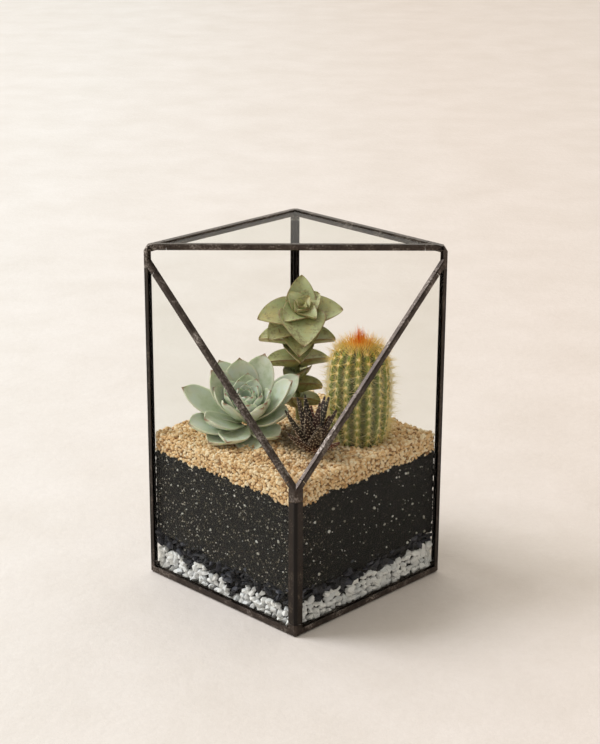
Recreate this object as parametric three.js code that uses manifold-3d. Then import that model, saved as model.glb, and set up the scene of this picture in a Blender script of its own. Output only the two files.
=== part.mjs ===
// Glass plant terrarium: a square jar of six glass panes in dark soldered came, standing corner forward. Its
// upper front corner is left off as the mouth. Inside, layers of marble pebbles, charcoal, soil and gravel
// carry four succulents.
// Millimetres, +Z up. Origin: centre of the base, on the surface it stands on. The low front corner is at -Y.

import * as THREE from 'three';
import { mergeVertices } from 'three/addons/utils/BufferGeometryUtils.js';
import Module from 'manifold-3d';

const wasm = await Module();
wasm.setup();

// ---- Driving dimensions -------------------------------------------------------------------------------

const SIDE = 120; // side of the square jar, over its came
const HEIGHT = 198.5;
const FRONT_HEIGHT = 86.5; // top of the short front post
const RIM_DROP = 5; // the sloping rims meet the side posts this far under the top
const GAP = 0.3; // clearance between pieces that touch

const FRONT_POST_WIDTH = 5.5; // strip of came that shows on each face beside the front corner
const POST_WIDTH = 3.8; // the same on the other upright corners
const SEAM_WIDTH = 4.3; // and along the base and the top
const RIM_WIDTH = 3.2; // U came on a free glass edge
const RIM_DEPTH = 3.5; // heavier than the corner came, on its inner side
const CAME_DEPTH = 2.8; // over both legs, and the solid heart of a corner came
const CAME_LEG = 0.4; // sheet thickness of a leg
const CAME_CHAMFER = 1.1;
const RIM_WEB = 1.2;
const RIM_CHAMFER = 0.7;
const GLASS = 1.6; // pane thickness
const GLASS_INSET = 0.6; // outer face of the came to outer face of the pane

const PEBBLE_TOP = 15; // heights of the layers over the surface
const CHARCOAL_TOP = 22;
const SOIL_TOP = 76.8;
const GRAVEL_TOP = 87.5;
const PEBBLE_SIZE = 6; // across a marble chip
const PEBBLE_RELIEF = 2.6; // from the lowest to the highest of them on the base glass
const GRAIN_RELIEF = 1.6; // and of the gravel grains on top

const ROSETTE_BASE = [-28.5, -3]; // places of the plants on the gravel
const STACK_BASE = [2, 21];
const CACTUS_BASE = [36, -7.4];
const ZEBRA_BASE = [9.3, -36];
const ROOT_DEPTH = 24; // stem plug under the top of the gravel
const ROSETTE_STEM = 3.2; // radii of the plugs
const STACK_STEM = 2.4;
const CACTUS_STEM = 7;
const ZEBRA_STEM = 2.6;
const CACTUS_FOOT = 15.8; // radius of the hole that the cactus body stands in, in the gravel
const CACTUS_SUNK = 8;

// ---- Small helpers ------------------------------------------------------------------------------------

const vec = (x, y, z) => new THREE.Vector3(x, y, z);
const radians = THREE.MathUtils.degToRad;
const lerp = THREE.MathUtils.lerp;
const smooth = (t) => THREE.MathUtils.smoothstep(t, 0, 1);

// A repeatable draw of numbers between 0 and 1.
function seeded(seed) {
  let state = seed;
  return () => {
    state = (state * 1664525 + 1013904223) % 4294967296;
    return state / 4294967296;
  };
}

function toSolid(geometry) {
  geometry.deleteAttribute('normal');
  geometry.deleteAttribute('uv');
  const merged = mergeVertices(geometry, 1e-4);
  const vertProperties = merged.attributes.position.array;
  const triVerts = Uint32Array.from(merged.index.array);
  return new wasm.Manifold(new wasm.Mesh({ numProp: 3, vertProperties, triVerts }));
}

const FINEST = 0.02; // edges of a cut that are shorter than this are drawn together

// The biggest connected body of a solid, as a geometry: loose scraps of a cut are dropped.
function toGeometry(solid) {
  const bodies = solid.decompose().sort((a, b) => b.volume() - a.volume());
  const { vertProperties, triVerts } = bodies[0].simplify(FINEST).getMesh();
  const geometry = new THREE.BufferGeometry();
  geometry.setAttribute('position', new THREE.BufferAttribute(vertProperties, 3));
  geometry.setIndex(new THREE.BufferAttribute(triVerts, 1));
  geometry.computeVertexNormals();
  return geometry;
}

const join = (solids) => wasm.Manifold.union(solids);

function outline(points) {
  return new THREE.Shape(points.map(([x, y]) => new THREE.Vector2(x, y)));
}

const terrarium = new THREE.Group();

function add(name, geometry, material, placement = new THREE.Matrix4()) {
  const mesh = new THREE.Mesh(geometry, material.clone());
  mesh.name = name;
  mesh.applyMatrix4(placement);
  terrarium.add(mesh);
}

// ---- Materials ----------------------------------------------------------------------------------------

function paint(color, roughness, metalness = 0) {
  return new THREE.MeshStandardMaterial({ color, roughness, metalness });
}

const patina = paint(0x2a2421, 0.42, 0.8);
const glass = paint(0xdfe9e4, 0.04);
glass.transparent = true;
glass.opacity = 0.2;
const marble = paint(0xe9ebec, 0.75);
const charcoal = paint(0x17191c, 0.8);
const soil = paint(0x1b1815, 0.95);
const gravel = paint(0xcfae7c, 0.9);
const rosetteGreen = paint(0x8fb09a, 0.6);
const stackGreen = paint(0x8fa077, 0.6);
const cactusGreen = paint(0x6f7d33, 0.7);
const zebraPurple = paint(0x4b3330, 0.65);

// ---- Jar corners --------------------------------------------------------------------------------------

const REACH = SIDE / Math.SQRT2; // centre to corner
const CORNERS = {
  front: vec(0, -REACH, 0),
  right: vec(REACH, 0, 0),
  back: vec(0, REACH, 0),
  left: vec(-REACH, 0, 0),
};
const RING = ['front', 'right', 'back', 'left']; // anticlockwise from above
const UP = vec(0, 0, 1);
const DOWN = vec(0, 0, -1);

const corner = (name, z) => CORNERS[name].clone().setZ(z);
const toward = (a, b) => CORNERS[b].clone().sub(CORNERS[a]).normalize();
const after = (name) => RING[(RING.indexOf(name) + 1) % 4];
const before = (name) => RING[(RING.indexOf(name) + 3) % 4];

// ---- Came bars ----------------------------------------------------------------------------------------

// Came for a corner, seen along the bar: p and q run from its outer edge along the two panes in its slots.
function cornerProfile(width) {
  const [w, d, leg, c] = [width, CAME_DEPTH, CAME_LEG, CAME_CHAMFER];
  return outline([
    [c, 0], [w, 0], [w, leg], [d, leg], [d, d - leg], [w, d - leg], [w, d], [d, d],
    [d, w], [d - leg, w], [d - leg, d], [leg, d], [leg, w], [0, w], [0, c],
  ]);
}

// U came for a free edge: p runs into the pane, q through its thickness.
function rimProfile() {
  const [w, d, leg, web, c] = [RIM_WIDTH, RIM_DEPTH, CAME_LEG, RIM_WEB, RIM_CHAMFER];
  const slot = CAME_DEPTH - CAME_LEG;
  return outline([
    [c, 0], [w, 0], [w, leg], [web, leg], [web, slot], [w, slot], [w, d], [c, d], [0, d - c], [0, c],
  ]);
}

// A bar runs from one joint to another. p and q are its profile's directions, turned into a right-handed set.
function bar(name, joints, start, end, p, q, profile) {
  const axis = end.clone().sub(start).normalize();
  if (p.clone().cross(q).dot(axis) < 0) {
    return bar(name, [joints[1], joints[0]], end, start, p, q, profile);
  }
  return { name, joints, start, axis, p, q, profile, length: start.distanceTo(end) };
}

function barPlacement({ start, axis, p, q }, from) {
  const at = start.clone().addScaledVector(axis, from);
  return new THREE.Matrix4().makeBasis(p, q, axis).setPosition(at);
}

function barGeometry({ profile }, length) {
  return new THREE.ExtrudeGeometry(profile, { depth: length, bevelEnabled: false });
}

function makeBars() {
  const bars = [];
  const seams = cornerProfile(SEAM_WIDTH);
  const rims = rimProfile();
  for (const name of RING) {
    const [next, last] = [after(name), before(name)];
    const top = name === 'front' ? FRONT_HEIGHT : HEIGHT;
    const foot = corner(name, 0);
    const ends = [`${name}_foot`, `${name}_head`];
    const post = cornerProfile(name === 'front' ? FRONT_POST_WIDTH : POST_WIDTH);
    const [p, q] = [toward(name, next), toward(name, last)];
    bars.push(bar(`came_post_${name}`, ends, foot, corner(name, top), p, q, post));
    const feet = [`${name}_foot`, `${next}_foot`];
    bars.push(bar(`came_base_${name}_${next}`, feet, foot, corner(next, 0), q, UP, seams));
  }
  for (const name of ['right', 'back']) {
    const next = after(name);
    const heads = [`${name}_head`, `${next}_head`];
    const [start, end] = [corner(name, HEIGHT), corner(next, HEIGHT)];
    bars.push(bar(`came_top_${name}_${next}`, heads, start, end, toward(name, before(name)), DOWN, seams));
  }
  const across = ['left_head', 'right_head'];
  const [left, right] = [corner('left', HEIGHT), corner('right', HEIGHT)];
  bars.push(bar('came_top_front', across, left, right, vec(0, 1, 0), DOWN, rims));
  for (const [side, other] of [['left', 'right'], ['right', 'left']]) {
    const [start, end] = [corner('front', FRONT_HEIGHT), corner(side, HEIGHT - RIM_DROP)];
    const inward = toward('front', other);
    const intoPane = inward.clone().cross(end.clone().sub(start)).normalize();
    if (intoPane.z > 0) {
      intoPane.negate();
    }
    const heads = ['front_head', `${side}_head`];
    bars.push(bar(`came_rim_${side}`, heads, start, end, intoPane, inward, rims));
  }
  return bars;
}

// ---- Glass --------------------------------------------------------------------------------------------

const EDGE = CAME_DEPTH + GAP; // came's outer edge to a pane's edge, along the pane
const RIM_EDGE = RIM_WEB + GAP;
const PANE_ROOM = 0.27; // left clear round a pane in the solder

// A pane from its outline, or, with a margin, the room to leave for it.
function paneGeometry(points, margin = 0) {
  const bevel = { bevelEnabled: margin > 0, bevelSize: margin, bevelThickness: margin, bevelSegments: 1 };
  return new THREE.ExtrudeGeometry(outline(points), { depth: GLASS, ...bevel });
}

// A wall from one corner to the next, seen from outside: u runs along the base, v up.
function wallPane(label, name, heightAtStart, heightAtEnd) {
  const slope = (heightAtEnd - heightAtStart) / SIDE;
  const edge = slope === 0 ? EDGE : RIM_EDGE * Math.hypot(1, slope);
  const top = (u) => heightAtStart + slope * u - edge;
  const far = SIDE - EDGE;
  const along = toward(name, after(name));
  const outward = along.clone().cross(UP);
  const origin = corner(name, 0).addScaledVector(outward, -GLASS_INSET - GLASS);
  const placement = new THREE.Matrix4().makeBasis(along, UP, outward).setPosition(origin);
  const points = [[EDGE, EDGE], [far, EDGE], [far, top(far)], [EDGE, top(EDGE)]];
  return { name: `glass_${label}`, points, placement };
}

function makePanes() {
  const tip = REACH - EDGE * Math.SQRT2;
  const level = (z) => new THREE.Matrix4().setPosition(0, 0, z);
  const base = [[0, -tip], [tip, 0], [0, tip], [-tip, 0]];
  const lid = [[RIM_EDGE - tip, RIM_EDGE], [tip - RIM_EDGE, RIM_EDGE], [0, tip]];
  return [
    wallPane('front_right', 'front', FRONT_HEIGHT, HEIGHT - RIM_DROP),
    wallPane('front_left', 'left', HEIGHT - RIM_DROP, FRONT_HEIGHT),
    wallPane('back_right', 'right', HEIGHT, HEIGHT),
    wallPane('back_left', 'back', HEIGHT, HEIGHT),
    { name: 'glass_base', points: base, placement: level(GLASS_INSET) },
    { name: 'glass_top', points: lid, placement: level(HEIGHT - GLASS_INSET - GLASS) },
  ];
}

// ---- Soldered joints ----------------------------------------------------------------------------------

// Joint to bar end. Bars that leave a joint at 45 degrees need the longer one to part from each other.
const SHORT_JOINT = 7;
const LONG_JOINT = 13;
const jointReach = (name) => (['left_head', 'right_head'].includes(name) ? LONG_JOINT : SHORT_JOINT);

// A block of the jar's plan, inset on all sides, with its upright edges cut by `cut` and its rims by `bevel`.
function planBlock(inset, cut, bevel, low, high) {
  const scale = 1 - (2 * (inset + bevel)) / SIDE;
  const reach = cut - (2 - Math.SQRT2) * bevel;
  const points = RING.flatMap((name) => {
    const at = corner(name, 0).multiplyScalar(scale);
    return [before(name), after(name)].map((other) => {
      const point = at.clone().addScaledVector(toward(name, other), reach);
      return [point.x, point.y];
    });
  });
  const shape = { depth: high - low - 2 * bevel, bevelSize: bevel, bevelThickness: bevel, bevelSegments: 1 };
  return toSolid(new THREE.ExtrudeGeometry(outline(points), shape).translate(0, 0, low + bevel));
}

// Solder rounds off the upper corners: level and upright size of the cut.
const NIP_LEVEL = 3;
const NIP_UPRIGHT = 4.5;

// What stays when the corner over a post's head is nipped off.
function nip(solid, side) {
  const level = CORNERS[side].clone().normalize().multiplyScalar(-NIP_UPRIGHT);
  const keep = level.setZ(-NIP_LEVEL).normalize();
  const edge = corner(side, HEIGHT - NIP_UPRIGHT);
  return solid.trimByPlane([keep.x, keep.y, keep.z], keep.dot(edge));
}

// Every bar runs on into its joint. The solder has the bars' own section and fills their mitre.
function makeJoint(name, bars, outer, paneRoom) {
  const reach = jointReach(name);
  const stubs = bars.filter(({ joints }) => joints.includes(name)).map((piece) => {
    const from = piece.joints[0] === name ? 0 : piece.length - reach;
    return toSolid(barGeometry(piece, reach).applyMatrix4(barPlacement(piece, from)));
  });
  const solder = join(stubs).intersect(outer).subtract(paneRoom);
  const [side, end] = name.split('_');
  const isUpper = end === 'head' && side !== 'front';
  return toGeometry(isUpper ? nip(solder, side) : solder);
}

function addGlassAndFrame() {
  const rooms = [];
  for (const { name, points, placement } of makePanes()) {
    add(name, paneGeometry(points), glass, placement);
    rooms.push(toSolid(paneGeometry(points, PANE_ROOM).applyMatrix4(placement)));
  }
  const bars = makeBars();
  for (const piece of bars) {
    const [from, to] = piece.joints.map((name) => jointReach(name) + GAP);
    add(piece.name, barGeometry(piece, piece.length - from - to), patina, barPlacement(piece, from));
  }
  const outer = planBlock(0, CAME_CHAMFER, CAME_CHAMFER, 0, HEIGHT);
  for (const name of new Set(bars.flatMap(({ joints }) => joints))) {
    add(`joint_${name}`, makeJoint(name, bars, outer, join(rooms)), patina);
  }
}

// ---- Layers of the fill -------------------------------------------------------------------------------

// Everything up to a height function over the whole plan, as one block with a grid of cells on top, in line
// with the walls.
function fillTo(height, cells) {
  const floor = -5;
  const rows = cells + 1;
  const step = SIDE / cells;
  const positions = [];
  for (const z of [() => floor, height]) {
    for (let j = 0; j < rows; j += 1) {
      for (let i = 0; i < rows; i += 1) {
        const [u, v] = [i * step - SIDE / 2, j * step - SIDE / 2];
        const [x, y] = [(u - v) / Math.SQRT2, (u + v) / Math.SQRT2];
        positions.push(x, y, z(x, y));
      }
    }
  }
  const triangles = [];
  const point = (level, i, j) => level * rows * rows + j * rows + i;
  const quad = (a, b, c, d) => triangles.push(a, b, c, a, c, d);
  for (let i = 0; i < cells; i += 1) {
    for (let j = 0; j < cells; j += 1) {
      quad(point(1, i, j), point(1, i + 1, j), point(1, i + 1, j + 1), point(1, i, j + 1));
      quad(point(0, i, j), point(0, i, j + 1), point(0, i + 1, j + 1), point(0, i + 1, j));
    }
    quad(point(0, i, 0), point(0, i + 1, 0), point(1, i + 1, 0), point(1, i, 0));
    quad(point(0, cells, i), point(0, cells, i + 1), point(1, cells, i + 1), point(1, cells, i));
    quad(point(0, i + 1, cells), point(0, i, cells), point(1, i, cells), point(1, i + 1, cells));
    quad(point(0, 0, i + 1), point(0, 0, i), point(1, 0, i), point(1, 0, i + 1));
  }
  const geometry = new THREE.BufferGeometry();
  geometry.setAttribute('position', new THREE.Float32BufferAttribute(positions, 3));
  geometry.setIndex(triangles);
  return toSolid(geometry);
}

// Soft waves, the same at a place whoever asks.
const wave = (x, y, size, phase) => Math.sin(x / size + phase) * Math.cos(y / size - 1.7 * phase);
const nearWall = (x, y) => smooth((Math.abs(x) + Math.abs(y) - 55) / 25);
const nearSide = (x) => smooth((Math.abs(x) - 45) / 35);

// A number between 0 and 1 that belongs to a place: how high its stone lies.
function lot(x, y) {
  const mixed = 43758.5453 * Math.sin(12.9898 * x + 78.233 * y);
  return mixed - Math.floor(mixed);
}

// The pebbles are heaped against the walls, most of all in the side corners.
function pebbleTop(x, y) {
  return PEBBLE_TOP + 1.4 * wave(x, y, 6, 0.4) + nearWall(x, y) * (1.5 + 3 * nearSide(x));
}

function charcoalTop(x, y) {
  return CHARCOAL_TOP + 1.5 * wave(x, y, 7, 2.1) + 3.5 * nearSide(x);
}

function soilTop(x, y) {
  return SOIL_TOP + 0.9 * wave(x, y, 9, 1.2) - 2.2 * smooth((-y - 60) / 20);
}

// Raked gravel, a little higher at the back, with grains that stand out of it.
function gravelTop(x, y) {
  const raked = GRAVEL_TOP + 0.5 * wave(x, y, 14, 2.6) + smooth(y / 60);
  return raked + GRAIN_RELIEF * (lot(x, y) - 0.5);
}

// The hollows between the lowest chips, on the base glass.
function pebbleUnderside(x, y) {
  return LAYER_INSET + PEBBLE_RELIEF * lot(x, y);
}

const LAYER_INSET = GLASS_INSET + GLASS + GAP;
const LAYER_CUT = 4.4; // clears the inner legs of the came in the upright corners
const LAYER_BEVEL = 2.6; // and along the base

// Marble chips against the glass, along every wall and up to the layer's top, seated in a plain layer.
function makePebbles(inside, filled) {
  const draw = seeded(11);
  const jitter = (size) => (draw() - 0.5) * size;
  const pitch = PEBBLE_SIZE * 1.7;
  const depth = LAYER_INSET + PEBBLE_SIZE * 0.55;
  const heart = planBlock(depth, LAYER_CUT, LAYER_BEVEL, LAYER_INSET, HEIGHT);
  const chips = [];
  for (const name of RING) {
    const along = toward(name, after(name));
    const inward = toward(name, before(name));
    for (let row = 0; row < 3; row += 1) {
      for (let u = 10 + (row % 2) * pitch * 0.5; u < SIDE - 9; u += pitch) {
        const z = LAYER_INSET + 3.4 + row * PEBBLE_SIZE * 0.85 + jitter(1.2);
        const at = corner(name, z).addScaledVector(along, u + jitter(1.8));
        at.addScaledVector(inward, depth);
        if (z < pebbleTop(at.x, at.y) - PEBBLE_SIZE * 0.45) {
          const chip = new THREE.OctahedronGeometry(PEBBLE_SIZE / 2);
          chip.scale(1, 0.8 + draw() * 0.25, 0.66 + draw() * 0.25);
          chip.rotateX(draw() * 6).rotateY(draw() * 6).rotateZ(draw() * 6);
          chips.push(toSolid(chip.translate(at.x, at.y, at.z)));
        }
      }
    }
  }
  const hollows = fillTo(pebbleUnderside, 9);
  return join([heart.intersect(filled).subtract(hollows), ...chips]).intersect(filled).intersect(inside);
}

function column([x, y], radius, low, high, sides = 8) {
  const cylinder = new THREE.CylinderGeometry(radius, radius, high - low, sides).rotateX(Math.PI / 2);
  return toSolid(cylinder.translate(x, y, (low + high) / 2));
}

// Plain holes that the plants' stem plugs and the foot of the cactus stand in.
function plantHoles() {
  const low = GRAVEL_TOP - ROOT_DEPTH - GAP;
  const stems = [
    [ROSETTE_BASE, ROSETTE_STEM],
    [STACK_BASE, STACK_STEM],
    [CACTUS_BASE, CACTUS_STEM],
    [ZEBRA_BASE, ZEBRA_STEM],
  ];
  const holes = stems.map(([place, radius]) => column(place, radius + 1.2 * GAP, low, HEIGHT));
  const foot = column(CACTUS_BASE, CACTUS_FOOT, GRAVEL_TOP - CACTUS_SUNK - GAP, HEIGHT, 24);
  return join([...holes, foot]);
}

function addLayers() {
  const inside = planBlock(LAYER_INSET, LAYER_CUT, LAYER_BEVEL, LAYER_INSET, HEIGHT);
  const raised = (solid) => solid.translate([0, 0, GAP]);
  const pebbleFill = fillTo(pebbleTop, 8);
  const charcoalFill = fillTo(charcoalTop, 8);
  const soilFill = fillTo(soilTop, 6);
  const gravelFill = fillTo(gravelTop, 21);
  const holes = plantHoles();
  const layer = (fill, below) => fill.subtract(raised(below)).intersect(inside).subtract(holes);
  add('white_pebbles', toGeometry(makePebbles(inside, pebbleFill)), marble);
  add('charcoal', toGeometry(layer(charcoalFill, pebbleFill)), charcoal);
  add('soil', toGeometry(layer(soilFill, charcoalFill)), soil);
  add('gravel', toGeometry(layer(gravelFill, soilFill)), gravel);
}

// ---- Leaves -------------------------------------------------------------------------------------------

// A fleshy leaf along +X, its upper face up: rings of six points round a curved midrib, then a pointed tip.
// outlineAt(t) is the half width as a share of the widest, cup lifts the margins, bend curves it up.
function leafGeometry(shape) {
  const { length, width, thickness, cup, bend, rings, outlineAt, swell = () => 1 } = shape;
  const positions = [];
  const triangles = [];
  const place = vec(0, 0, 0);
  const last = 1 - 0.5 / rings;
  for (let k = 0; k < rings; k += 1) {
    const t = (last * k) / (rings - 1);
    const angle = radians(bend) * t;
    const half = (width / 2) * outlineAt(t);
    const thick = thickness * swell(k) * (1 - 0.45 * t) * Math.min(1, 0.45 + outlineAt(t));
    const lift = cup * half;
    const low = 0.3 * lift - 0.5 * thick;
    const section = [
      [half, lift], [0, 0.32 * thick], [-half, lift],
      [-0.6 * half, low], [0, -0.68 * thick], [0.6 * half, low],
    ];
    for (const [side, up] of section) {
      positions.push(place.x - up * Math.sin(angle), side, place.z + up * Math.cos(angle));
    }
    const step = (length * last) / (rings - 1);
    const middle = radians(bend) * (t + last / (rings - 1) / 2);
    if (k < rings - 1) {
      place.add(vec(step * Math.cos(middle), 0, step * Math.sin(middle)));
    }
  }
  const tipAngle = radians(bend);
  place.add(vec(Math.cos(tipAngle), 0, Math.sin(tipAngle)).multiplyScalar(length * (1 - last)));
  positions.push(...place, 0, 0, 0);
  const [tip, root] = [rings * 6, rings * 6 + 1];
  for (let j = 0; j < 6; j += 1) {
    const n = (j + 1) % 6;
    for (let k = 0; k < rings - 1; k += 1) {
      const [a, b] = [k * 6, k * 6 + 6];
      triangles.push(a + j, a + n, b + n, a + j, b + n, b + j);
    }
    triangles.push(tip - 6 + j, tip - 6 + n, tip, root, n, j);
  }
  const geometry = new THREE.BufferGeometry();
  geometry.setAttribute('position', new THREE.Float32BufferAttribute(positions, 3));
  geometry.setIndex(triangles);
  return geometry;
}

// Turns a leaf up by `rise`, round to `azimuth`, and out from the stem by `out` at height z.
function growLeaf(shape, rise, azimuth, out, z) {
  const geometry = leafGeometry(shape).rotateY(-radians(rise)).translate(out, 0, z);
  return toSolid(geometry.rotateZ(radians(azimuth)));
}

// Leans a plant, stands it on its place and joins its root plug to it.
function plant(solids, [x, y], base, lean, plugRadius) {
  const matrix = new THREE.Matrix4().makeRotationX(radians(lean)).setPosition(x, y, base);
  const root = column([x, y], plugRadius, GRAVEL_TOP - ROOT_DEPTH, base + 1);
  return toGeometry(join([join(solids).transform(matrix.elements), root]));
}

// ---- Rosette succulent --------------------------------------------------------------------------------

const GOLDEN = 138.5; // turn from one leaf to the next older one
const FRONT = -90; // azimuth of the low front corner

// Narrow foot, broad shoulders, short point.
function spoon(t) {
  const shoulder = Math.max(0, t - 0.55) / 0.45;
  return lerp(0.42, 1, smooth(t / 0.55)) * (1 - shoulder ** 2.2) ** 0.6;
}

// How steeply a leaf must rise to stop short of the glass and of its neighbour, `keepOff` round a place.
function riseToClear([x, y], azimuth, length, [nearX, nearY], keepOff) {
  const [dx, dy] = [Math.cos(radians(azimuth)), Math.sin(radians(azimuth))];
  const toGlass = REACH - (LAYER_INSET + 2.5) * Math.SQRT2;
  let reach = 0;
  let isFree = true;
  while (isFree && reach < length) {
    reach += 0.5;
    const [tipX, tipY] = [x + dx * reach, y + dy * reach];
    const isInside = Math.abs(tipX) + Math.abs(tipY) < toGlass;
    isFree = isInside && Math.hypot(tipX - nearX, tipY - nearY) > keepOff;
  }
  return THREE.MathUtils.radToDeg(Math.acos(Math.min(1, reach / length)));
}

function addRosette() {
  const count = 32;
  const lean = 19.5;
  const leaves = [];
  for (let i = 0; i < count; i += 1) {
    const age = i / (count - 1); // 0 for the outermost leaf, 1 for the bud
    const azimuth = 250 + GOLDEN * i;
    const forward = Math.cos(radians(azimuth - FRONT));
    const ahead = Math.max(0, forward);
    const length = lerp(36, 13, age ** 1.3) + 9 * ahead * (1 - age) ** 2;
    // Leaves that lean forward rest on the gravel instead of going down into it.
    const tilt = lean * forward;
    const clear = riseToClear(ROSETTE_BASE, azimuth, length, STACK_BASE, 11);
    const rise = Math.max(lerp(14 - 12 * ahead, 80, age ** 1.1), tilt - 8, tilt + clear) - 5;
    const [width, thickness] = [lerp(18.5, 7.5, age), lerp(5, 3.2, age)];
    const rings = age < 0.6 ? 4 : 3;
    const shape = { length, width, thickness, cup: 0.22, bend: 18, rings, outlineAt: spoon };
    leaves.push(growLeaf(shape, rise, azimuth, 2, 12 * age));
  }
  const core = toSolid(new THREE.ConeGeometry(7, 15, 8).rotateX(Math.PI / 2).translate(0, 0, 5));
  const base = GRAVEL_TOP + 5.6;
  add('plant_rosette', plant([core, ...leaves], ROSETTE_BASE, base, lean, ROSETTE_STEM), rosetteGreen);
}

// ---- Stacked succulent --------------------------------------------------------------------------------

// Broad foot and a blunt point.
function spade(t) {
  return Math.min(1, 0.72 + 1.2 * t) * (1 - t ** 1.7) ** 0.88;
}

// Pairs of leaves clasp a stem that curves forward at the top. Each pair stands across the one below it.
// at: place along the stem. turn: azimuth of the pair. length: stem to tip. rise: up from the stem's own level.
const STACK_PAIRS = [
  { at: 0.1, turn: -28, length: 13, rise: 22 },
  { at: 0.2, turn: -8, length: 13, rise: 20 },
  { at: 0.29, turn: 62, length: 12, rise: 18 },
  { at: 0.385, turn: 14, length: 18.5, rise: 16 },
  { at: 0.5, turn: 96, length: 18, rise: 12 },
  { at: 0.595, turn: 2, length: 23, rise: 14 },
  { at: 0.72, turn: 92, length: 24, rise: 6 },
  { at: 0.8, turn: 40, length: 23, rise: 8 },
  { at: 0.88, turn: 16, length: 25, rise: 18 },
  { at: 0.94, turn: 96, length: 27, rise: 14 },
  { at: 0.96, turn: 52, length: 16, rise: 28 },
  { at: 0.975, turn: 134, length: 12.5, rise: 38 },
  { at: 1, turn: 60, length: 9, rise: 56 },
];

function addStack() {
  const stem = new THREE.QuadraticBezierCurve3(vec(0, 0, 0), vec(-2, 5, 51), vec(1.2, -7.5, 69.5));
  const solids = [];
  for (const { at, turn, length, rise } of STACK_PAIRS) {
    const level = new THREE.Quaternion().setFromUnitVectors(UP, stem.getTangent(at));
    const placement = new THREE.Matrix4().compose(stem.getPoint(at), level, vec(1, 1, 1));
    const [width, rings] = [length * 1.2, length > 15 ? 4 : 3];
    const shape = { length, width, thickness: 5, cup: 0.3, bend: -34, rings, outlineAt: spade };
    for (const side of [0, 180]) {
      solids.push(growLeaf(shape, rise, turn + side, 0, 0).transform(placement.elements));
    }
  }
  const section = outline([[1.5, 0], [0.75, 1.3], [-0.75, 1.3], [-1.5, 0], [-0.75, -1.3], [0.75, -1.3]]);
  solids.push(toSolid(new THREE.ExtrudeGeometry(section, { extrudePath: stem, steps: 6 })));
  add('plant_stack', plant(solids, STACK_BASE, GRAVEL_TOP, 0, STACK_STEM), stackGreen);
}

// ---- Ball cactus --------------------------------------------------------------------------------------

const RIBS = 16;
const RIB_DEPTH = 1.9;
const RIB_TURN = -5.4; // first rib, from the front towards +X
// Ribbed body from its foot in the gravel to the crown: height over the gravel, radius on the ribs.
const CACTUS_TOP = 57;
const CACTUS_PROFILE = [
  [-CACTUS_SUNK, 11.5], [0.8, 15], [5, 16.3], [13, 17.3], [36, 17.5], [46, 16.4], [52, 13.6],
  [55.5, 9], [CACTUS_TOP, 4],
];

function cactusRadius(height) {
  const k = CACTUS_PROFILE.findIndex(([z]) => z > height);
  const [[z0, r0], [z1, r1]] = [CACTUS_PROFILE[k - 1], CACTUS_PROFILE[k]];
  return lerp(r0, r1, (height - z0) / (z1 - z0));
}

// Body with a crest and a furrow to each rib: every other line of the turned shape is pressed in.
function cactusBody() {
  const turned = [[-CACTUS_SUNK, 0], ...CACTUS_PROFILE, [CACTUS_TOP, 0]];
  const points = turned.map(([z, r]) => new THREE.Vector2(r, z));
  const body = new THREE.LatheGeometry(points, 2 * RIBS, radians(RIB_TURN)).rotateX(Math.PI / 2);
  const at = body.attributes.position;
  for (let i = 0; i < at.count; i += 1) {
    const line = Math.floor(i / points.length);
    const radius = Math.hypot(at.getX(i), at.getY(i));
    if (line % 2 === 1 && radius > 0) {
      const share = 1 - Math.min(RIB_DEPTH, radius * 0.14) / radius;
      at.setXY(i, at.getX(i) * share, at.getY(i) * share);
    }
  }
  return toSolid(body);
}

// A three-sided spine, its root sunk into the body.
function spine(length, place, direction) {
  const needle = new THREE.ConeGeometry(0.5, length, 3).translate(0, length / 2 - 1.2, 0);
  const turn = new THREE.Quaternion().setFromUnitVectors(vec(0, 1, 0), direction.normalize());
  return toSolid(needle.applyQuaternion(turn).translate(place.x, place.y, place.z));
}

function addCactus() {
  const draw = seeded(5);
  const jitter = (size) => (draw() - 0.5) * size;
  const solids = [cactusBody()];
  for (let rib = 0; rib < RIBS; rib += 1) {
    const angle = radians(RIB_TURN + (360 / RIBS) * rib - 90);
    const out = vec(Math.cos(angle), Math.sin(angle), 0);
    const side = vec(-Math.sin(angle), Math.cos(angle), 0);
    for (let height = 3.5 + (rib % 2) * 3.6; height < 52; height += 7.2) {
      const place = out.clone().multiplyScalar(cactusRadius(height)).setZ(height);
      const upward = jitter(0.9) + smooth((height - 38) / 14);
      const direction = out.clone().addScaledVector(side, jitter(1.1)).addScaledVector(UP, upward);
      solids.push(spine(7, place, direction));
    }
  }
  const tuft = 28; // upright spines of the crown, in a spiral
  for (let i = 0; i < tuft; i += 1) {
    const angle = radians(GOLDEN * i);
    const radius = 9.5 * Math.sqrt((i + 0.5) / tuft);
    const height = CACTUS_TOP - 1.6 * smooth((radius - 4) / 6);
    const spot = vec(Math.cos(angle) * radius, Math.sin(angle) * radius, height);
    solids.push(spine(7.5 + jitter(1.5), spot, vec(spot.x * 0.055, spot.y * 0.055, 1)));
  }
  add('plant_cactus', plant(solids, CACTUS_BASE, GRAVEL_TOP, 0, CACTUS_STEM), cactusGreen);
}

// ---- Zebra succulent ----------------------------------------------------------------------------------

// Broad foot, long point.
function dagger(t) {
  return lerp(0.85, 1, smooth(t / 0.2)) * (1 - smooth((t - 0.1) / 1.05)) ** 0.75;
}

const bumps = (k) => 1 + 0.12 * (k % 2); // bands of raised bumps

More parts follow.
